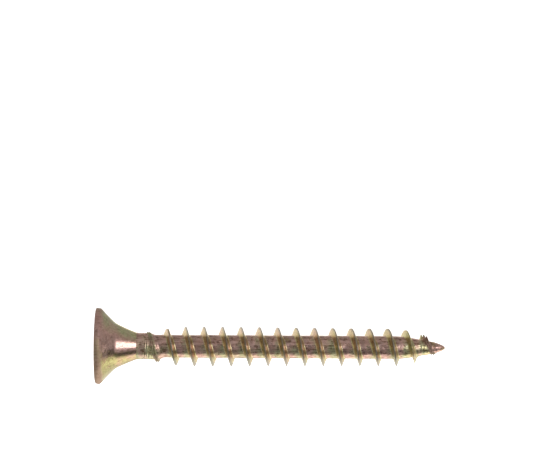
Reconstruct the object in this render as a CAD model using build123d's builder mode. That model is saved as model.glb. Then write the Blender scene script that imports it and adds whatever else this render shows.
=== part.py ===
from build123d import *

import os

# Wood screw, 4.5 x 40 nominal, countersunk head, right-hand single-start thread.
# Millimetres.  The screw lies along X: the flat face of the head is in the YZ plane
# at the origin, facing +X, and the point is towards -X.  A "station" is a distance
# from the face of the head towards the point, so its X is minus the station.

# Head
HEAD_RADIUS = 4.25
RIM_CORNER = 0.2            # rounding between the face and the rim land
RIM_END = 0.55              # station where the rim land ends and the upper cone starts
RIM_EDGE = 0.1              # rounding there
KNEE = 2.21                 # station where the 90 degree cone meets the slimmer lower one
KNEE_RADIUS = 2.49
KNEE_FILLET = 1.4
HEAD_END = 4.51             # station where the lower cone reaches the neck

# Cross recess, size 2
RECESS_SPAN = 4.5           # across two opposite wings, at the face
RECESS_FLOOR_SPAN = 2.3     # the same, at the foot of the wings
RECESS_WING = 1.05          # width of a wing
RECESS_HUB = 2.7            # diameter of the round middle, at the face
RECESS_DEPTH = 2.1          # depth of the wings
RECESS_CENTRE_DEPTH = 2.65  # depth of the conical bottom
RECESS_TURN = 24            # degrees from Z to a wing

# Neck and threaded core
NECK_RADIUS = 1.49
NECK_SHOULDER = 6.63        # station where the neck starts to narrow to the core
NECK_END = 7.23
CORE_RADIUS = 1.29
CORE_END = 33.23

# Point
POINT_MID = 35.93
POINT_MID_RADIUS = 0.96
POINT_LOW = 38.33           # station where the nose starts
POINT_LOW_RADIUS = 0.40
NOSE_CONTROL_RADIUS = 0.19  # of the curve that rounds the nose
OVERALL_LENGTH = 38.83

# Thread
PITCH = 2.043
CREST_STATION = 6.036       # station where the first turn passes the -Y side
THREAD_RADIUS = 2.22        # of the first full turn
THREAD_END_RADIUS = 2.1     # at the end of the core: the crests come down slightly
RIDGE_BASE = 0.64           # width of the ridge where it leaves the core
CREST_WIDTH = 0.07
SWEPT_RADIUS = 2.3          # the ridge is swept out to here, then its crest is cut back
SEAT_RADIUS = 0.9           # and from here, inside the core
POINT_SEAT_RADIUS = 0.1     # and from here, inside the point
RUN_IN_START = 5.5          # station where the crests start to rise out of the neck
RUN_IN_START_RADIUS = 1.52
RUN_IN_MID = 7.88
RUN_IN_MID_RADIUS = 1.95
RUN_IN_END = 10.73
RUN_OUT_MID = 35.43         # the crests come down over the point
RUN_OUT_MID_RADIUS = 1.73
RUN_OUT_END = 38.03
RUN_OUT_END_RADIUS = 0.45
POINT_TURNS = 13            # whole turns from the start of the helix to the point's own

helix_start = CREST_STATION - PITCH / 4


def ridge_outline(station, seat_radius):
    """The ridge's section at a station on the -Z side, from its seat to past its crest."""
    slope = (RIDGE_BASE - CREST_WIDTH) / (THREAD_RADIUS - CORE_RADIUS)
    seat = (CREST_WIDTH + slope * (THREAD_RADIUS - seat_radius)) / 2
    top = (CREST_WIDTH + slope * (THREAD_RADIUS - SWEPT_RADIUS)) / 2
    return [
        (-station - seat, -seat_radius),
        (-station - top, -SWEPT_RADIUS),
        (-station + top, -SWEPT_RADIUS),
        (-station + seat, -seat_radius),
    ]


os.makedirs("parts", exist_ok=True)


# Head: rim land, 90 degree cone, knee and slimmer cone down to the neck, in one revolve.
with BuildPart() as head:
    with BuildSketch(Plane.XZ):
        with BuildLine():
            flank = FilletPolyline(
                (0, 0),
                (0, HEAD_RADIUS),
                (-RIM_END, HEAD_RADIUS),
                (-KNEE, KNEE_RADIUS),
                (-HEAD_END, NECK_RADIUS),
                radius=[RIM_CORNER, RIM_EDGE, KNEE_FILLET],
            )
            Polyline(flank @ 1, (-HEAD_END, 0), flank @ 0)
        make_face()
    revolve(axis=Axis.X)

    # Each pair of opposite wings is one tapered slot across the axis.
    for turn in (RECESS_TURN, RECESS_TURN + 90):
        with BuildSketch(Plane.XZ.rotated((turn, 0, 0))):
            with BuildLine():
                Polyline(
                    (0, RECESS_SPAN / 2),
                    (-RECESS_DEPTH, RECESS_FLOOR_SPAN / 2),
                    (-RECESS_DEPTH, -RECESS_FLOOR_SPAN / 2),
                    (0, -RECESS_SPAN / 2),
                    close=True,
                )
            make_face()
        extrude(amount=RECESS_WING / 2, both=True, mode=Mode.SUBTRACT)

    # The round middle of the recess, with its conical bottom.
    with BuildSketch(Plane.XZ):
        with BuildLine():
            Polyline(
                (0, 0),
                (0, RECESS_HUB / 2),
                (-RECESS_DEPTH, RECESS_FLOOR_SPAN / 2),
                (-RECESS_CENTRE_DEPTH, 0),
                close=True,
            )
        make_face()
    revolve(axis=Axis.X, mode=Mode.SUBTRACT)


# Neck: the wire as it was before rolling, narrowing to the core at its end.
with BuildPart() as neck:
    with BuildSketch(Plane.XZ):
        with BuildLine():
            Polyline(
                (-HEAD_END, 0),
                (-HEAD_END, NECK_RADIUS),
                (-NECK_SHOULDER, NECK_RADIUS),
                (-NECK_END, CORE_RADIUS),
                (-NECK_END, 0),
                close=True,
            )
        make_face()
    revolve(axis=Axis.X)


# Core: the root of the thread, thinner than the neck because the ridge took its metal.
with BuildPart() as core:
    with BuildSketch(Plane.YZ.offset(-CORE_END)):
        Circle(CORE_RADIUS)
    extrude(amount=CORE_END - NECK_END)


# Thread: a V ridge swept along the helix.  It is bored out to the core that it stands
# on, cut down to the envelope of its crests, and cleared of the neck that it rises from.
with BuildPart() as thread:
    with BuildLine() as helix:
        Helix(PITCH, CORE_END - helix_start + PITCH, CORE_RADIUS, (-helix_start, 0, 0), (-1, 0, 0))
    with BuildSketch(Plane.XZ):
        with BuildLine():
            Polyline(*ridge_outline(helix_start, SEAT_RADIUS), close=True)
        make_face()
    sweep(path=helix.line, is_frenet=True)
    with BuildSketch(Plane.YZ.offset(-OVERALL_LENGTH)):
        Circle(CORE_RADIUS)
    extrude(amount=OVERALL_LENGTH, mode=Mode.SUBTRACT)
    with BuildSketch(Plane.XZ):
        with BuildLine():
            run_in = Spline(
                (-RUN_IN_START, RUN_IN_START_RADIUS),
                (-RUN_IN_MID, RUN_IN_MID_RADIUS),
                (-RUN_IN_END, THREAD_RADIUS),
                tangents=[(-1, 0.15), (-1, 0)],
            )
            Polyline(
                run_in @ 1,
                (-CORE_END, THREAD_END_RADIUS),
                (-CORE_END, 0),
                (-RUN_IN_START, 0),
                run_in @ 0,
            )
        make_face()
    revolve(axis=Axis.X, mode=Mode.INTERSECT)
    add(neck.part, mode=Mode.SUBTRACT)


# Point: the last turns of the ridge under their falling envelope, on a slightly bulging
# taper with a blunt tip.
with BuildPart() as point:
    point_start = helix_start + POINT_TURNS * PITCH
    with BuildLine() as point_helix:
        Helix(PITCH, OVERALL_LENGTH - point_start, CORE_RADIUS, (-point_start, 0, 0), (-1, 0, 0))
    with BuildSketch(Plane.XZ):
        with BuildLine():
            Polyline(*ridge_outline(point_start, POINT_SEAT_RADIUS), close=True)
        make_face()
    sweep(path=point_helix.line, is_frenet=True)
    with BuildSketch(Plane.XZ):
        with BuildLine():
            run_out = Spline(
                (-CORE_END, THREAD_END_RADIUS),
                (-RUN_OUT_MID, RUN_OUT_MID_RADIUS),
                (-RUN_OUT_END, RUN_OUT_END_RADIUS),
                tangents=[(-1, -0.05), (-1, -0.5)],
            )
            Polyline(run_out @ 1, (-RUN_OUT_END, 0), (-CORE_END, 0), run_out @ 0)
        make_face()
    revolve(axis=Axis.X, mode=Mode.INTERSECT)
    with BuildSketch(Plane.XZ):
        with BuildLine():
            taper = Spline(
                (-CORE_END, CORE_RADIUS),
                (-POINT_MID, POINT_MID_RADIUS),
                (-POINT_LOW, POINT_LOW_RADIUS),
                tangents=[(-1, 0), (-1, -0.42)],
            )
            nose = Bezier(
                taper @ 1, (-OVERALL_LENGTH, NOSE_CONTROL_RADIUS), (-OVERALL_LENGTH, 0)
            )
            Polyline(nose @ 1, (-CORE_END, 0), taper @ 0)
        make_face()
    revolve(axis=Axis.X)


head.part.label = "head"
neck.part.label = "neck"
core.part.label = "core"
thread.part.label = "thread"
point.part.label = "point"

export_step(head.part, "parts/head.step")
export_step(neck.part, "parts/neck.step")
export_step(core.part, "parts/core.step")
export_step(thread.part, "parts/thread.step")
export_step(point.part, "parts/point.step")

for piece in (head, neck, core, thread, point):
    print(piece.part.label, len(piece.part.solids()), round(piece.part.volume, 2))
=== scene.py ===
import math

import bpy
import numpy as np
from mathutils import Matrix, Vector


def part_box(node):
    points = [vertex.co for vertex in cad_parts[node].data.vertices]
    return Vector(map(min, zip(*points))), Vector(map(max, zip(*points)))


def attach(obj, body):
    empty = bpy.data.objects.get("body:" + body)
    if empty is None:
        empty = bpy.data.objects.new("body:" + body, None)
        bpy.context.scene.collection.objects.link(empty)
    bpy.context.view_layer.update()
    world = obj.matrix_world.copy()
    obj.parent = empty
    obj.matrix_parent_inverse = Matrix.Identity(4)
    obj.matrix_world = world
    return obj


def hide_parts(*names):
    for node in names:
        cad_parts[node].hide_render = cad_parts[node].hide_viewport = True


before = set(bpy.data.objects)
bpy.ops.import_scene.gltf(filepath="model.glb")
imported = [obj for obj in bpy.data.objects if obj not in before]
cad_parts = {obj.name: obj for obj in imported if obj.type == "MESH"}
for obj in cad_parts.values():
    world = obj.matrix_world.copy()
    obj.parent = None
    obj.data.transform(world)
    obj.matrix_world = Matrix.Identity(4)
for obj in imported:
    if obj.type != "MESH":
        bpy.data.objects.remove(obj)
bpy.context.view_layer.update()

# A wood screw of yellow-passivated zinc, lying on a pale table.
# Lengths in this script are millimetres and meshes are written in metres. The screw's axis
# is X, its head faces +X and its point is towards -X. A "station" is a distance from the
# face of the head towards the point. A "turn" counts revolutions about the axis from the
# -Y side, through +Z, then +Y.
MM = 0.001


# ---------------------------------------------------------------- sizes from the CAD model's parts

def ends(node):
    """(first station, last station, largest radius) of a CAD node, in millimetres."""
    low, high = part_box(node)
    return -high[0] / MM, -low[0] / MM, max(high[1], high[2]) / MM


HEAD_END, HEAD_R = ends("head")[1:]
NECK_START, NECK_END, NECK_R = ends("neck")
CORE_START, CORE_END, CORE_R = ends("core")
THREAD_START, THREAD_R = ends("thread")[::2]
TIP = ends("point")[1]

# The same design values as the CAD model's, which no box shows.
RIM_END = 0.55
KNEE, KNEE_R = 2.21, 2.49
RECESS_HALF_SPAN, RECESS_FLOOR_HALF = 2.25, 1.15
RECESS_WING, RECESS_HUB_R = 1.05, 1.35
RECESS_DEPTH, RECESS_CENTRE_DEPTH = 2.1, 2.65
RECESS_TURN = math.radians(24)
NECK_SHOULDER = 6.63
PITCH, CREST_STATION = 2.043, 6.036
POINT_MID, POINT_MID_R = 35.93, 0.96
POINT_LOW, POINT_LOW_R = 38.33, 0.40


# ---------------------------------------------------------------- small tools

def ease(x, low, high):
    """0 below low, 1 above high, smooth between."""
    t = np.clip((x - low) / (high - low), 0, 1)
    return t * t * (3 - 2 * t)


def soft_max(a, b, width):
    """The larger of two, rounded over where they are nearly equal."""
    return 0.5 * (a + b + np.sqrt((a - b) ** 2 + width ** 2))


def bump(x, middle, reach):
    """1 at the middle, falling to nearly 0 at twice the reach from it."""
    return np.exp(-((x - middle) / reach) ** 2)


def smooth_noise(seed, along, turn, cell, around):
    """Noise from -1 to 1: a random value for each cell along and each 1/around of a turn,
    smoothly joined. It closes on itself round the axis."""
    a, t = along / cell, (turn % 1.0) * around
    a0, t0 = np.floor(a).astype(int), np.floor(t).astype(int) % around
    fa, ft = a - np.floor(a), t - np.floor(t)
    fa, ft = fa * fa * (3 - 2 * fa), ft * ft * (3 - 2 * ft)
    grid = np.random.default_rng(seed).uniform(-1, 1, (a0.max() - a0.min() + 2, around))
    row, t1 = a0 - a0.min(), (t0 + 1) % around
    near = grid[row, t0] * (1 - ft) + grid[row, t1] * ft
    far = grid[row + 1, t0] * (1 - ft) + grid[row + 1, t1] * ft
    return near * (1 - fa) + far * fa


def on_axis(station, radius, turn):
    """Points at a station, radius and turn, as arrays of the same shape."""
    angle = 2 * math.pi * turn
    station = station + 0 * angle
    return np.stack((-station, -radius * np.cos(angle), radius * np.sin(angle)), axis=-1)


def closed_piece(name, rings, material, start="flat", end="flat"):
    """A closed mesh through rings of points. Each end is a fan to the ring's middle: "flat"
    behind a sharp edge, "round" smooth."""
    count, around = rings.shape[:2]
    index = np.arange(count * around).reshape(count, around)
    beside = np.roll(index, -1, axis=1)
    quads = np.stack((index[:-1], beside[:-1], beside[1:], index[1:]), axis=-1).reshape(-1, 4)
    points = np.vstack((rings.reshape(-1, 3), rings[0].mean(axis=0), rings[-1].mean(axis=0)))
    first, last = count * around, count * around + 1
    fans = [(first, b, a) for a, b in zip(index[0], beside[0])]
    fans += [(last, a, b) for a, b in zip(index[-1], beside[-1])]
    faces = [tuple(q) for q in quads.tolist()] + [tuple(int(v) for v in f) for f in fans]
    corner = points[quads]
    outward = np.cross(corner[:, 2] - corner[:, 0], corner[:, 3] - corner[:, 1])
    if np.einsum("ij,ij->", outward, corner.mean(axis=1) - points.mean(axis=0)) < 0:
        faces = [f[::-1] for f in faces]
    mesh = bpy.data.meshes.new(name)
    mesh.from_pydata((points * MM).tolist(), [], faces)
    mesh.polygons.foreach_set("use_smooth", [True] * len(faces))
    sharp_rings = [r for r, kind in ((0, start), (count - 1, end)) if kind == "flat"]
    if sharp_rings:
        on_sharp = np.zeros(len(points), bool)
        for r in sharp_rings:
            on_sharp[index[r]] = True
        pairs = np.zeros(len(mesh.edges) * 2, int)
        mesh.edges.foreach_get("vertices", pairs)
        pairs = pairs.reshape(-1, 2)
        sharp = on_sharp[pairs].all(axis=1) & (pairs[:, 0] // around == pairs[:, 1] // around)
        mesh.attributes.new("sharp_edge", "BOOLEAN", "EDGE").data.foreach_set("value", sharp)
    mesh.validate()
    mesh.materials.append(material)
    piece = bpy.data.objects.new(name, mesh)
    bpy.context.scene.collection.objects.link(piece)
    return piece


# ---------------------------------------------------------------- camera

# The camera looks down at the screw from the -Y side, upside down: +X is on the left of
# the image and -Y is up.
FOCAL_MM, SENSOR_MM = 106.6, 36.0
CAMERA_TILT = math.radians(35)      # from straight above the table, towards -Y
CAMERA_ROLL = math.radians(2.5)     # the screw lies a little turned on the table
DISTANCE = 180.84                   # from the screw, along the line of sight
RAISED = 13.53                      # the line of sight passes this far above the screw
SIDEWAYS = 0.419                    # and this far to the right of its middle
REST_LEVEL = 34.4                   # station where a crest rests on the table

table_slope = math.atan2(HEAD_R - THREAD_R, REST_LEVEL)
table_up = Vector((math.sin(table_slope), 0, math.cos(table_slope)))
right_flat = Vector((-math.cos(table_slope), 0, math.sin(table_slope)))
to_camera = table_up * math.cos(CAMERA_TILT) + Vector((0, -math.sin(CAMERA_TILT), 0))
image_up = to_camera.cross(right_flat)
roll = Matrix.Rotation(CAMERA_ROLL, 3, to_camera)
image_right, image_up = roll @ right_flat, roll @ image_up

middle = Vector((-TIP / 2, 0, 0))
eye = middle + to_camera * DISTANCE + image_up * RAISED + image_right * SIDEWAYS
camera_data = bpy.data.cameras.new("camera")
camera_data.lens = FOCAL_MM
camera_data.sensor_width = SENSOR_MM
camera_data.clip_start = 0.01
camera = bpy.data.objects.new("camera", camera_data)
axes = Matrix((image_right, image_up, to_camera)).transposed()
camera.matrix_world = Matrix.Translation(eye * MM) @ axes.to_4x4()
bpy.context.scene.collection.objects.link(camera)
bpy.context.scene.camera = camera


# ---------------------------------------------------------------- materials

class Tree:
    """The node tree of a material or world, with short calls that add linked nodes."""

    def __init__(self, owner):
        owner.use_nodes = True
        self.tree = owner.node_tree
        self.tree.nodes.clear()

    def add(self, kind, **values):
        """A new node. A value is a setting of the node, or what goes into a named socket."""
        node = self.tree.nodes.new(kind)
        for key, value in values.items():
            if key in node.inputs:
                self.feed(node.inputs[key], value)
            else:
                setattr(node, key, value)
        return node

    def feed(self, socket, value):
        """Links an output to a socket, or sets the socket's own value."""
        if isinstance(value, bpy.types.NodeSocket):
            self.tree.links.new(value, socket)
        elif socket.type == "RGBA":
            socket.default_value = (*value, 1)
        else:
            socket.default_value = value

    def math(self, operation, first, second=0.0):
        """The result of an operation on two numbers or sockets."""
        node = self.add("ShaderNodeMath", operation=operation)
        self.feed(node.inputs[0], first)
        self.feed(node.inputs[1], second)
        return node.outputs[0]

    def spread(self, value, low, high, to_low=0.0, to_high=1.0):
        """Maps low..high smoothly onto to_low..to_high."""
        node = self.add("ShaderNodeMapRange", interpolation_type="SMOOTHSTEP", Value=value)
        limits = {"From Min": low, "From Max": high, "To Min": to_low, "To Max": to_high}
        for name, number in limits.items():
            node.inputs[name].default_value = number
        return node.outputs["Result"]

    def mix(self, factor, first, second, mode="MIX"):
        """Mixes two colours by a factor."""
        node = self.add("ShaderNodeMix", data_type="RGBA", blend_type=mode)
        # A mix node has one set of sockets for each data type: these are the colour ones.
        for index, value in ((0, factor), (6, first), (7, second)):
            self.feed(node.inputs[index], value)
        return node.outputs[2]

    def ramp(self, factor, stops):
        """A colour ramp over (position, colour) stops."""
        node = self.add("ShaderNodeValToRGB", Fac=factor)
        elements = node.color_ramp.elements
        while len(elements) < len(stops):
            elements.new(0.5)
        for element, (position, colour) in zip(elements, stops):
            element.position = position
            element.color = (*colour, 1)
        return node.outputs["Color"]

    def noise(self, place, scale, detail=3, rough=0.55, stretch=(1, 1, 1)):
        """Noise from 0 to 1 with this many cells per millimetre."""
        cells = [scale / MM * part for part in stretch]
        mapping = self.add("ShaderNodeMapping", Vector=place, Scale=cells)
        texture = self.add("ShaderNodeTexNoise", Scale=1.0, Detail=detail, Roughness=rough)
        self.tree.links.new(mapping.outputs["Vector"], texture.inputs["Vector"])
        return texture.outputs["Fac"]


WHITE = (1.0, 1.0, 1.0)

# Tints of the passivate film as it gets thicker.
ROSE = (0.75, 0.56, 0.41)
GOLD = (0.75, 0.61, 0.37)
STRAW = (0.72, 0.65, 0.35)
OLIVE = (0.56, 0.57, 0.34)
BROWN = (0.66, 0.50, 0.37)
PINK = (0.74, 0.48, 0.42)
MAUVE = (0.54, 0.37, 0.33)
BRONZE = (0.52, 0.38, 0.24)
GREEN = (0.45, 0.43, 0.19)
TAN = (0.50, 0.38, 0.21)
FILM_TINTS = (
    (0.0, ROSE), (0.11, GOLD), (0.23, STRAW), (0.34, OLIVE), (0.46, BROWN),
    (0.57, PINK), (0.72, MAUVE), (0.80, BRONZE), (0.88, GREEN), (1.0, TAN),
)
THICK_SIDE = math.radians(120)   # angle round the axis where the film's wave peaks
COIL_LEAD = 0.3                  # radians from a crest to where the coil's change is zero

SCUFFED = (0.56, 0.49, 0.42)     # dull grey film over the tints
BURNT = (0.24, 0.22, 0.17)       # burrs that the dies tore up
RUBBED = (0.30, 0.29, 0.26)      # crests, worn through the zinc
SPECK = (0.38, 0.31, 0.26)
STREAK = (0.68, 0.62, 0.58)
RUB_START, RUB_FULL = 0.45, 0.12   # how far below the crests the rubbing starts and is full
RUB_SWING = 0.09                   # and how much further it reaches on that side
GRAIN_DEPTH = 0.012                # of the fine bumps


def plating(name, film, swing, drift, bands, coil, dirt, roughness, mottle, worn):
    """Yellow-passivated zinc.

    film is the middle thickness of the film, from 0 to 1 over FILM_TINTS, swing its wave
    round the axis, drift its random part and coil a wave that follows the ridge. bands are
    its changes along the screw: (station where it starts, station where it is full,
    change). dirt lists duller films over the tints: (colour, first station, last station,
    amount at the first, amount at the last). roughness is the clean film's range, mottle
    the depth of the dark specks and streaks, and worn how much the crests are rubbed.
    """
    material = bpy.data.materials.new(name)
    tree = Tree(material)
    place = tree.add("ShaderNodeTexCoord").outputs["Object"]
    axes = tree.add("ShaderNodeSeparateXYZ", Vector=place).outputs
    across, up = axes["Y"], axes["Z"]
    station = tree.math("MULTIPLY", axes["X"], -1 / MM)

    turn = tree.math("ARCTAN2", up, tree.math("MULTIPLY", across, -1.0))
    wave = tree.math("COSINE", tree.math("SUBTRACT", turn, THICK_SIDE))
    thickness = tree.math("MULTIPLY_ADD", wave, swing)
    thickness.node.inputs[2].default_value = film
    for scale, share, along in ((0.45, 0.58, 0.7), (1.4, 0.42, 0.8)):
        wander = tree.noise(place, scale, detail=4, rough=0.6, stretch=(along, 1, 1))
        part = tree.math("MULTIPLY", tree.math("SUBTRACT", wander, 0.5), 4 * drift * share)
        thickness = tree.math("ADD", thickness, part)
    for first, last, change in bands:
        thickness = tree.math("ADD", thickness, tree.spread(station, first, last, 0, change))
    phase = tree.math("SUBTRACT", tree.math("MULTIPLY", station, 2 * math.pi / PITCH), turn)
    crest_phase = 2 * math.pi * CREST_STATION / PITCH
    beside = tree.math("SINE", tree.math("SUBTRACT", phase, crest_phase + COIL_LEAD))
    thickness = tree.math("ADD", thickness, tree.math("MULTIPLY", beside, coil))
    colour, dull = tree.ramp(thickness, FILM_TINTS), 0.0
    for tint, *stations_and_amounts in dirt:
        amount = tree.spread(station, *stations_and_amounts)
        colour = tree.mix(amount, colour, tint)
        dull = tree.math("ADD", amount, dull)

    # Specks and lengthwise streaks where the film is dirty or thin.
    specks = tree.noise(place, 3.1, detail=4, rough=0.65, stretch=(0.7, 1, 1))
    streaks = tree.noise(place, 5.5, detail=2, stretch=(0.09, 1, 1))
    for pattern, low, high, tint in ((specks, 0.30, 0.52, SPECK), (streaks, 0.34, 0.60, STREAK)):
        shade = tree.mix(tree.spread(pattern, low, high), tint, WHITE)
        colour = tree.mix(mottle, colour, shade, "MULTIPLY")

    # Crests rub against other screws in the box.
    squares = tree.math("ADD", tree.math("MULTIPLY", across, across), tree.math("MULTIPLY", up, up))
    radius, further = tree.math("SQRT", squares), tree.math("MULTIPLY", wave, RUB_SWING * MM)
    reach = tree.math("ADD", radius, further)
    rubbed = tree.spread(reach, (THREAD_R - RUB_START) * MM, (THREAD_R - RUB_FULL) * MM)
    colour = tree.mix(tree.math("MULTIPLY", rubbed, worn), colour, RUBBED)

    # Dirt is rougher than clean film. The bumps are pits, then marks drawn along the wire.
    fine = tree.noise(place, 8, detail=4, rough=0.6, stretch=(0.3, 1, 1))
    rough = tree.spread(fine, 0.3, 0.7, *roughness)
    rough = tree.math("ADD", rough, tree.math("MULTIPLY", dull, 0.8))
    pits = tree.add("ShaderNodeBump", Strength=0.5, Distance=GRAIN_DEPTH * MM,
                    Height=tree.noise(place, 5, detail=5, rough=0.62))
    drawn = tree.add("ShaderNodeBump", Strength=0.4, Distance=GRAIN_DEPTH * MM,
                     Normal=pits.outputs[0],
                     Height=tree.noise(place, 7, detail=3, stretch=(0.1, 1, 1)))
    shader = tree.add("ShaderNodeBsdfPrincipled", Metallic=1.0, Roughness=rough,
                      Normal=drawn.outputs[0])
    tree.feed(shader.inputs["Base Color"], colour)
    tree.add("ShaderNodeOutputMaterial", Surface=shader.outputs["BSDF"])
    return material


head_plating = plating(
    "head_plating", film=0.60, swing=0.34, drift=0.19, coil=0.0,
    bands=((1.1, 0.3, 0.14), (2.0, 2.8, -0.07)),
    dirt=((MAUVE, 0.65, 1.0, 0.55, 0.0),),
    roughness=(0.12, 0.24), mottle=0.45, worn=0.0,
)
shank_plating = plating(
    "shank_plating", film=0.57, swing=-0.15, drift=0.30, coil=0.09,
    bands=((10.0, 7.4, -0.08), (33.5, 35.3, -0.20), (36.6, 37.6, 0.28)),
    dirt=((SCUFFED, 4.4, 6.0, 0.2, 0.06),),
    roughness=(0.20, 0.38), mottle=1.0, worn=0.0,
)
thread_plating = plating(
    "thread_plating", film=0.14, swing=0.03, drift=0.32, coil=0.0,
    bands=((7.8, 6.9, 0.21), (29.0, 33.0, 0.06), (35.6, 36.6, 0.22)),
    dirt=((BURNT, 35.8, 36.6, 0.0, 0.45), (BURNT, 7.5, 6.8, 0.0, 0.32)),
    roughness=(0.26, 0.40), mottle=0.6, worn=0.75,
)


# ---------------------------------------------------------------- shape of the shank

def hermite(x, x0, y0, m0, x1, y1, m1):
    """Cubic from (x0, y0) to (x1, y1) with end slopes m0 and m1."""
    w = x1 - x0
    t = np.clip((x - x0) / w, 0, 1)
    return ((2 * t**3 - 3 * t**2 + 1) * y0 + (t**3 - 2 * t**2 + t) * w * m0
            + (3 * t**2 - 2 * t**3) * y1 + (t**3 - t**2) * w * m1)


WAIST_DEPTH = 0.03
WAIST_START, WAIST_END = 5.0, 5.4      # stations where the waist under the head runs out
SHOULDER_LEAD = 0.13                   # the visible shoulder comes this much earlier
SHOULDER_SWING = 0.5                   # and sways this much round the screw
SHOULDER_TURN = 0.153                  # where it is at its mean
SHOULDER_HALF = 0.28                   # half its length
MID_SLOPE, TIP_SLOPE = -0.19, -0.42    # of the taper


def body_radius(station, turn):
    """Radius of the screw under its thread. The shoulder between neck and core follows the
    first ridge: it comes earlier on the -Y side than on the +Y side."""
    waist = WAIST_DEPTH * ease(station, HEAD_END, HEAD_END + 0.4)
    waist = waist * (1 - ease(station, WAIST_START, WAIST_END))
    sway = SHOULDER_SWING * np.sin(2 * math.pi * (turn - SHOULDER_TURN))
    shoulder = (NECK_SHOULDER + NECK_END) / 2 - SHOULDER_LEAD + sway
    narrowed = ease(station, shoulder - SHOULDER_HALF, shoulder + SHOULDER_HALF)
    neck = NECK_R - waist - (NECK_R - CORE_R) * narrowed
    upper = hermite(station, CORE_END, CORE_R, 0, POINT_MID, POINT_MID_R, MID_SLOPE)
    lower = hermite(station, POINT_MID, POINT_MID_R, MID_SLOPE, POINT_LOW, POINT_LOW_R, TIP_SLOPE)
    taper = np.where(station < POINT_MID, upper, lower)
    return np.where(station < CORE_END, neck, taper)


CREST_FALL = 0.12          # of the crests along the core
CREST_FALL_START = 10      # station where it begins
# Knots of the crests' outline: (station, radius, slope).
RUN_IN = ((5.5, 1.53, 0.13), (7.88, 1.95, 0.17), (10.73, THREAD_R, 0))
RUN_OUT = ((CORE_END, THREAD_R - CREST_FALL, -0.09), (35.73, 1.64, -0.32), (38.03, 0.45, -0.5))


def crest_radius(station):
    """Radius of the crests: a run-in from the neck, a slow fall along the core, then down
    over the point."""
    rising = np.where(station < RUN_IN[1][0], hermite(station, *RUN_IN[0], *RUN_IN[1]),
                      hermite(station, *RUN_IN[1], *RUN_IN[2]))
    full = THREAD_R - CREST_FALL * ease(station, CREST_FALL_START, CORE_END)
    falling = np.where(station < RUN_OUT[1][0], hermite(station, *RUN_OUT[0], *RUN_OUT[1]),
                       hermite(station, *RUN_OUT[1], *RUN_OUT[2]))
    radius = np.where(station < RUN_IN[2][0], rising, full)
    return np.where(station < CORE_END, radius, falling)


# ---------------------------------------------------------------- head

AROUND = 360
turns_around = np.arange(AROUND) / AROUND
angles_around = 2 * math.pi * turns_around

LIP = 0.09                         # rounding at the mouth of the recess
SLOT_POWER, UNION_POWER = 14, 24   # the higher, the sharper the corners of the recess
RIM_WIDE, RIM_DEEP = 0.17, 0.27    # the rim's corner, across the face and down the rim
RIM_WIDE_LEAN, RIM_DEEP_LEAN = 0.07, 0.14   # how much larger it is on its worn side
RIM_WORN_SIDE = math.radians(145)
RIM_BLEND = 0.14                   # rounding between the rim and the cone
KNEE_BLEND = 0.05                  # rounding of the knee
NECK_BLEND = 0.02                  # and where the head meets the neck
HOLLOW_UPPER, HOLLOW_LOWER = 0.20, 0.13   # the cones are hollow by a quarter of these
INSET_KNEE, INSET_RIM, INSET_NECK = 0.003, 0.015, 0.005   # take back what the blends add
NICK_TURN, NICK_STATION = 0.073, 0.2      # of the one nick on the rim
NICK_DEPTH, NICK_WIDTH, NICK_LENGTH = 0.10, 0.13, 0.15
ECCENTRIC = 0.035                  # half of how much the rim is short on one side
DENT, GRAIN = 0.012, 0.004         # hammer marks and their finer grain


def recess_radius(depth):
    """Outline of the cross recess at a depth: two tapered slots and a round middle."""
    t = depth / RECESS_DEPTH
    hub = RECESS_HUB_R + (RECESS_FLOOR_HALF - RECESS_HUB_R) * t
    reach = RECESS_HALF_SPAN + (RECESS_FLOOR_HALF - RECESS_HALF_SPAN) * t
    total = hub ** UNION_POWER + 0 * angles_around
    for quarter in (0, 0.5 * math.pi):
        a = angles_around - 0.5 * math.pi - RECESS_TURN - quarter
        across = np.maximum(np.abs(np.cos(a)), 1e-6)
        side = np.maximum(np.abs(np.sin(a)), 1e-6)
        slot = (reach / across) ** -SLOT_POWER + (RECESS_WING / 2 / side) ** -SLOT_POWER
        total = total + slot ** (-UNION_POWER / SLOT_POWER)
    return total ** (1 / UNION_POWER)


def head_rings():
    """Rings from the bottom of the recess, out over the face and rim and down the flank."""
    rings = []
    for t in np.linspace(0.04, 1, 8):
        rings.append((RECESS_CENTRE_DEPTH + (RECESS_DEPTH - RECESS_CENTRE_DEPTH) * t,
                      RECESS_FLOOR_HALF * t))
    for depth in np.linspace(RECESS_DEPTH - 0.02, LIP, 22):
        rings.append((depth, recess_radius(depth)))
    mouth = recess_radius(LIP)
    for step in np.linspace(0, 0.5 * math.pi, 7)[1:]:
        rings.append((LIP * (1 - math.sin(step)), mouth + LIP * (1 - math.cos(step))))

    # The flat face, the rim's corner and the rim.
    inner = mouth + LIP
    lean = np.cos(angles_around - RIM_WORN_SIDE)
    wide, deep = RIM_WIDE + RIM_WIDE_LEAN * lean, RIM_DEEP + RIM_DEEP_LEAN * lean
    top = flank_radius(deep)
    for t in np.linspace(0, 1, 16)[1:]:
        rings.append((0.0, inner + (top - wide - inner) * t))
    for step in np.linspace(0, 0.5 * math.pi, 10)[1:]:
        rings.append((deep * (1 - math.cos(step)), top - wide * (1 - math.sin(step))))
    for t in np.linspace(0, 1, 7)[1:]:
        station = deep + (RIM_END - deep) * t
        rings.append((station, flank_radius(station)))
    for station in np.linspace(RIM_END + 0.02, HEAD_END, 90):
        rings.append((station, flank_radius(station)))
    return rings


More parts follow.
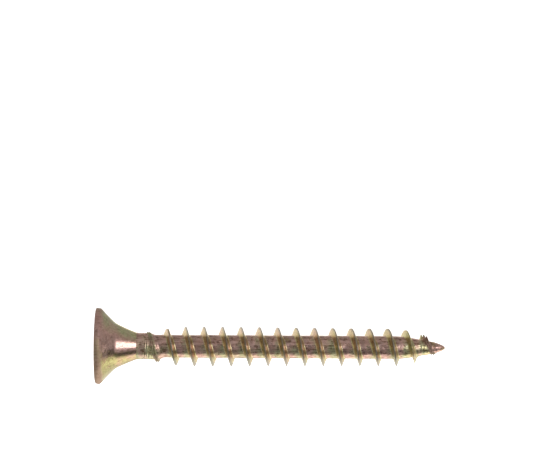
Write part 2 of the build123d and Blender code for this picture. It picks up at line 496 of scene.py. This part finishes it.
def flank_radius(station):
    """Radius of the head under its rim: a 45 degree cone, a soft knee and a slimmer cone,
    both cones a little hollow."""
    upper_part = np.clip((station - RIM_END) / (KNEE - RIM_END), 0, 1)
    lower_part = np.clip((station - KNEE) / (HEAD_END - KNEE), 0, 1)
    upper = HEAD_R + (station - RIM_END) * (KNEE_R - HEAD_R) / (KNEE - RIM_END)
    lower = KNEE_R + (station - KNEE) * (NECK_R - KNEE_R) / (HEAD_END - KNEE)
    hollow = HOLLOW_UPPER * upper_part * (1 - upper_part)
    hollow = hollow + HOLLOW_LOWER * lower_part * (1 - lower_part)
    knee = soft_max(upper, lower, KNEE_BLEND) - INSET_KNEE - hollow
    rim = HEAD_R - soft_max(HEAD_R - knee, 0, RIM_BLEND) + INSET_RIM
    return NECK_R + soft_max(rim - NECK_R, 0, NECK_BLEND) - INSET_NECK


def dented(station, radius):
    """Small hammer marks of the cold header, one nick on the rim, and the rim a little
    short on one side. They fade out towards the axis."""
    station = station + 0 * turns_around
    wobble = DENT * smooth_noise(3, station, turns_around, 1.4, 14)
    fine = GRAIN * smooth_noise(4, station, turns_around, 0.35, 60)
    fade = ease(radius, 2.4, 3.2)
    from_nick = ((turns_around - NICK_TURN + 0.5) % 1 - 0.5) * 2 * math.pi * radius
    nick = NICK_DEPTH * bump(from_nick, 0, NICK_WIDTH) * bump(station, NICK_STATION, NICK_LENGTH)
    short = ECCENTRIC * (1 + np.cos(2 * math.pi * (turns_around + 0.1))) * ease(radius, 2.4, 4.0)
    return radius - nick - short - fade * (np.abs(wobble) + np.abs(fine))


head_points = []
for station, radius in head_rings():
    head_points.append(on_axis(station, dented(station, radius + 0 * turns_around), turns_around))
head = closed_piece("head", np.array(head_points), head_plating, start="round")


# ---------------------------------------------------------------- neck, core and point

VALLEY_DEPTH = 0.025               # of the hollow between two turns
CHATTER, CHATTER_PITCH = 0.013, 0.36   # ripples of the dies on the point
ROLL_MARKS = ((5.33, 0.07), (5.60, 0.05), (5.84, 0.07), (6.12, 0.05))   # station, depth
ROLL_MARK_WIDTH = 0.055
MARK_WANDER = 0.03
TIP_FLAT = 0.004                   # radius of the last ring


def shank(first, last, step, relief):
    """A zone of the shank between two stations, with relief(station, turn) on its radius."""
    stations = np.linspace(first, last, int((last - first) / step) + 1)[:, None]
    turn = turns_around[None, ::2]
    stations, turn = stations + 0 * turn, turn + 0 * stations
    radius = body_radius(stations, turn) + relief(stations, turn)
    return on_axis(stations, radius, turn)


def skin(station, turn):
    """What the rolling dies leave: pits, streaks along the wire, slightly hollow valleys
    between the turns and ripples on the point."""
    pits = smooth_noise(11, station, turn, 0.22, 34)
    streaks = smooth_noise(12, station, turn, 1.6, 48)
    broad = smooth_noise(13, station, turn, 0.9, 9)
    fade = ease(station, HEAD_END, HEAD_END + 0.3)
    from_valley = ((station - CREST_STATION) / PITCH - turn) % 1 - 0.5
    hollow = VALLEY_DEPTH * ((2 * from_valley) ** 2 - 0.4)
    hollow = hollow * ease(station, 7.2, 8.0) * (1 - ease(station, 35.5, 37))
    chatter = smooth_noise(14, station, turn, 0.20, 10)
    chatter = chatter + 0.6 * np.sin(2 * math.pi * station / CHATTER_PITCH)
    chatter = CHATTER * chatter * ease(station, 34.8, 36.0) * (1 - ease(station, 37.8, 38.3))
    return fade * (0.009 * pits + 0.005 * streaks + 0.010 * broad - 0.012) + hollow + chatter


def roll_marks(station, turn):
    """The skin, with shallow grooves around the neck where the dies first touch the wire."""
    relief = skin(station, turn)
    for i, (mark, depth) in enumerate(ROLL_MARKS):
        wander = MARK_WANDER * smooth_noise(21 + i, 0 * turn, turn, 1, 9)
        strength = 0.6 + 0.4 * smooth_noise(31 + i, 0 * turn, turn, 1, 7)
        relief = relief - depth * strength * bump(station, mark + wander, ROLL_MARK_WIDTH)
    return relief


neck = closed_piece("neck", shank(NECK_START, NECK_END, 0.03, roll_marks), shank_plating)
core = closed_piece("core", shank(CORE_START, CORE_END, 0.07, skin), shank_plating)


def nose_rings():
    """Rings of the rounded tip: a curve that leaves the taper along its slope."""
    around = turns_around[::2]
    corner = POINT_LOW_R + (TIP - POINT_LOW) * TIP_SLOPE
    rings = []
    for t in np.linspace(0, 1, 16)[1:]:
        station = (1 - t) ** 2 * POINT_LOW + (1 - (1 - t) ** 2) * TIP
        radius = (1 - t) ** 2 * POINT_LOW_R + 2 * t * (1 - t) * corner
        rings.append(on_axis(station, max(radius, TIP_FLAT) + 0 * around, around))
    return np.array(rings)


point_points = np.vstack((shank(CORE_END, POINT_LOW, 0.04, skin), nose_rings()))
point = closed_piece("point", point_points, shank_plating, end="round")


# ---------------------------------------------------------------- thread

STEPS_PER_TURN = 150
FLANK_SLOPE = 0.33           # of a flank: width lost per height, on each side
FOOT_HALF = 0.33             # half the width of the ridge at its foot
FOOT_NARROWING = 0.12        # less than that on the point
CREST_HALF = 0.04            # half the width of the crest
CREST_EDGE = 0.06            # height of the rounding beside it
FRESH_WIDE, RAGGED_WIDE = 0.09, 0.13     # how much wider the crest is at the run-in and burr
FRESH_GROOVE, RAGGED_GROOVE = 0.14, 0.45   # and the depth of the groove along it there
FILLET = 0.09                # between a flank and the core
SEAT_SHARE = 0.75            # of the root's radius, where the ridge is seated in the core
SMALL_GAP = 0.004            # keeps neighbouring rings of the section apart
THREAD_LAST = 37.6           # station where the ridge ends

# The burr: turns where the torn metal stands up and where it is torn away.
BURR_SPIKES, SPIKE_REACH, SPIKE_HEIGHT = (14.845, 14.955), 0.022, 0.11
BURR_GAPS = ((14.90, 0.020, 0.80), (15.17, 0.110, 0.70))   # turn, reach, share of the height


def torn(turn, crest, root):
    """Radius of the crest with the burr's gaps and spikes."""
    for middle, reach, share in BURR_GAPS:
        crest = crest - share * (crest - root) * bump(turn, middle, reach)
    for middle in BURR_SPIKES:
        crest = crest + SPIKE_HEIGHT * bump(turn, middle, SPIKE_REACH)
    return crest


def ridge_rings(first_turn, last_turn):
    """Sections of the ridge along its helix. Each is a closed loop from its foot on the
    head's side, over the crest, to the other foot and back inside the core."""
    count = int((last_turn - first_turn) * STEPS_PER_TURN) + 1
    turn = np.linspace(first_turn, last_turn, count)
    station = CREST_STATION + PITCH * turn
    root = body_radius(station, turn)
    ragged = ease(station, 35.6, 36.2)      # 1 on the burr
    fresh = 1 - ease(station, 7.4, 8.3)     # 1 on the run-in, where the crest isn't closed

    wear = smooth_noise(41, station, turn, 500, 26) + 0.6 * smooth_noise(42, turn * 40, turn, 1, 1)
    crest = crest_radius(station) + (0.010 + 0.08 * ragged) * wear - 0.010
    crest = np.maximum(torn(turn, crest, root), root + SMALL_GAP)
    height = crest - root
    foot = FOOT_HALF - FOOT_NARROWING * ease(station, 33.5, 37.3)
    foot = foot * (0.35 + 0.65 * ease(height, 0, 0.7))
    widest_crest = CREST_HALF + FRESH_WIDE * fresh + RAGGED_WIDE * ragged
    top = np.maximum(foot - FLANK_SLOPE * height, widest_crest)
    foot = np.maximum(foot, top + 0.02)
    fillet = np.minimum(FILLET, 0.5 * height + 0.02)
    groove = np.minimum(0.8 * height, FRESH_GROOVE * fresh + RAGGED_GROOVE * ragged)
    sway = 0.010 * smooth_noise(43, turn * 9, turn, 1, 1)
    sway = sway + 0.04 * ragged * smooth_noise(44, turn * 25, turn, 1, 1)

    # One half of the section, as (distance from the ridge's middle, radius): the fillet,
    # the flank, the rounding and the crest.
    half = [(foot + fillet + 0.05, root - 0.05)]
    for t in np.linspace(0, 1, 6):
        x = (1 - t) ** 2 * (foot + fillet) + 2 * t * (1 - t) * foot
        x = x + t * t * (foot - FLANK_SLOPE * fillet)
        r = (1 - t) ** 2 * (root - 0.006) + 2 * t * (1 - t) * root + t * t * (root + fillet)
        half.append((np.maximum(x, top + SMALL_GAP), r))
    base_x, base_r = half[-1]
    edge = np.minimum(CREST_EDGE, 0.3 * height)
    for t in (0.33, 0.66, 0.9):
        half.append((base_x + (top + SMALL_GAP - base_x) * t, base_r + (crest - edge - base_r) * t))
    for t in (0.25, 0.5, 0.75, 1.0):
        bend = 0.5 * math.pi * t
        x = top - 0.6 * CREST_HALF * (1 - math.cos(bend))
        half.append((x, crest - edge * (1 - math.sin(bend))))
    half.append((0.3 * top, crest - 0.6 * groove))

    loop = [(-x, r) for x, r in half] + [(0 * top, crest - groove)] + half[::-1]
    inside = SEAT_SHARE * root
    loop += [(foot, inside), (-foot, inside)]
    offset = np.stack([x for x, _ in loop], axis=-1) + sway[:, None]
    radius = np.stack([r for _, r in loop], axis=-1)
    return on_axis(station[:, None] + offset, radius, turn[:, None] + 0 * offset)


def turn_at(station):
    """The turn at which the middle of the ridge passes a station."""
    return (station - CREST_STATION) / PITCH


thread_points = ridge_rings(turn_at(THREAD_START + 0.1), turn_at(CORE_END))
thread = closed_piece("thread", thread_points, thread_plating)
last_turns = ridge_rings(turn_at(CORE_END), turn_at(THREAD_LAST))
point_thread = closed_piece("point_thread", last_turns, thread_plating)


# ---------------------------------------------------------------- stage

DIM_TABLE, BRIGHT_TABLE = 0.40, 1.2      # brightness in reflections, on the -Y and +Y side
DIM_EDGE, BRIGHT_EDGE = -2.0, -0.2       # Y where the table starts to be and is fully lit
TABLE_GLOW = 0.8
WARM_WHITE = (1.0, 0.96, 0.90)
FLOOR_HALF = 600                         # half the table's side


def floor_material():
    """A white table. In reflections it is lit from the +Y side and dim on the -Y side."""
    material = bpy.data.materials.new("table")
    tree = Tree(material)
    place = tree.add("ShaderNodeTexCoord").outputs["Object"]
    grain = tree.ramp(tree.noise(place, 0.02), ((0.3, (0.86,) * 3), (0.7, (0.9,) * 3)))
    lit = tree.add("ShaderNodeBsdfDiffuse", Color=grain)
    glow = tree.add("ShaderNodeEmission", Strength=TABLE_GLOW)
    seen = tree.add("ShaderNodeAddShader")
    tree.feed(seen.inputs[0], lit.outputs[0])
    tree.feed(seen.inputs[1], glow.outputs[0])
    across = tree.add("ShaderNodeSeparateXYZ", Vector=place).outputs["Y"]
    level = tree.spread(across, DIM_EDGE * MM, BRIGHT_EDGE * MM, DIM_TABLE, BRIGHT_TABLE)
    mirrored = tree.add("ShaderNodeEmission", Color=WARM_WHITE, Strength=level)
    in_reflection = tree.add("ShaderNodeLightPath").outputs["Is Glossy Ray"]
    choice = tree.add("ShaderNodeMixShader", Fac=in_reflection)
    tree.feed(choice.inputs[1], seen.outputs[0])
    tree.feed(choice.inputs[2], mirrored.outputs[0])
    tree.add("ShaderNodeOutputMaterial", Surface=choice.outputs[0])
    return material


floor_mesh = bpy.data.meshes.new("table")
under_rim = Vector((0, 0, -HEAD_R / math.cos(table_slope))) - table_up * 0.01
corners = []
for a, b in ((-1, -1), (1, -1), (1, 1), (-1, 1)):
    corner = under_rim - right_flat * FLOOR_HALF * a + Vector((0, FLOOR_HALF * b, 0))
    corners.append(corner * MM)
floor_mesh.from_pydata(corners, [], [(0, 1, 2, 3)])
floor_mesh.materials.append(floor_material())
floor = bpy.data.objects.new("table", floor_mesh)
bpy.context.scene.collection.objects.link(floor)


# What reflections find around the screw, each over the ones before it: (direction, cosine
# where it starts, cosine where it is full, colour).
DARK_ROOM = (0.13, 0.13, 0.13)
SURROUNDINGS = (
    ((0, -0.85, 0.0), 0.70, 0.90, (0.44, 0.43, 0.42)),        # grey wall on the -Y side
    ((-1, -0.3, -0.1), 0.88, 0.97, (0.5, 0.48, 0.47)),        # wall past the point
    ((-0.37, 0.93, 0.07), 0.59, 0.87, (1.8, 1.72, 1.62)),     # bright wall on the +Y side
    ((-0.73, -0.46, 0.51), 0.78, 0.91, (0.62, 0.58, 0.57)),   # glow round the softbox
    ((0.62, -0.50, 0.60), 0.80, 0.95, (0.50, 0.48, 0.47)),    # fill from the head's side
    ((0, -0.70, 0.70), 0.93, 0.985, (0.07, 0.07, 0.07)),      # the dark camera
    ((0.8, 0, 0.4), 0.2, 0.8, (0.4, 0.4, 0.4)),               # wall past the head
)


def world_sky():
    """White behind everything the camera sees. Reflections find the surroundings."""
    world = bpy.data.worlds.new("studio")
    tree = Tree(world)
    direction = tree.add("ShaderNodeTexCoord").outputs["Generated"]
    room = DARK_ROOM
    for toward, start, full, colour in SURROUNDINGS:
        cosine = tree.add("ShaderNodeVectorMath", operation="DOT_PRODUCT")
        tree.feed(cosine.inputs[0], direction)
        cosine.inputs[1].default_value = Vector(toward).normalized()
        room = tree.mix(tree.spread(cosine.outputs["Value"], start, full), room, colour)
    seen = tree.mix(tree.add("ShaderNodeLightPath").outputs["Is Camera Ray"], room, WHITE)
    background = tree.add("ShaderNodeBackground", Color=seen)
    tree.add("ShaderNodeOutputWorld", Surface=background.outputs[0])
    bpy.context.scene.world = world


world_sky()


def area_light(name, direction, distance, size, radiance, glossy):
    """A soft light facing the screw. The second size is across the screw's axis. radiance
    is what a mirror would show, and glossy whether it shows it."""
    data = bpy.data.lights.new(name, "AREA")
    data.shape = "RECTANGLE"
    data.size, data.size_y = size[0] * MM, size[1] * MM
    data.energy = radiance * math.pi * data.size * data.size_y
    light = bpy.data.objects.new(name, data)
    toward = Vector(direction).normalized()
    long_side = toward.cross(Vector((1, 0, 0))).normalized()
    axes = Matrix((long_side.cross(toward), long_side, toward)).transposed()
    light.matrix_world = Matrix.Translation((middle + toward * distance) * MM) @ axes.to_4x4()
    light.visible_camera = False
    light.visible_glossy = glossy
    bpy.context.scene.collection.objects.link(light)


softbox_way = to_camera * 0.77 + image_right * 0.64 + image_up * 0.14
area_light("softbox", softbox_way, 260, (140, 150), 2.3, True)
area_light("overhead", table_up, 420, (420, 420), 2.2, False)

scene = bpy.context.scene
scene.view_settings.view_transform = "Standard"
scene.view_settings.look = "None"


# ---------------------------------------------------------------- the table of pieces

for piece, node, slot in (
    (head, "head", "head_plating"),
    (neck, "neck", "shank_plating"),
    (core, "core", "shank_plating"),
    (thread, "thread", "thread_plating"),
    (point, "point", "shank_plating"),
    (point_thread, "point", "thread_plating"),
):
    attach(piece, "root")
    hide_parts(node)
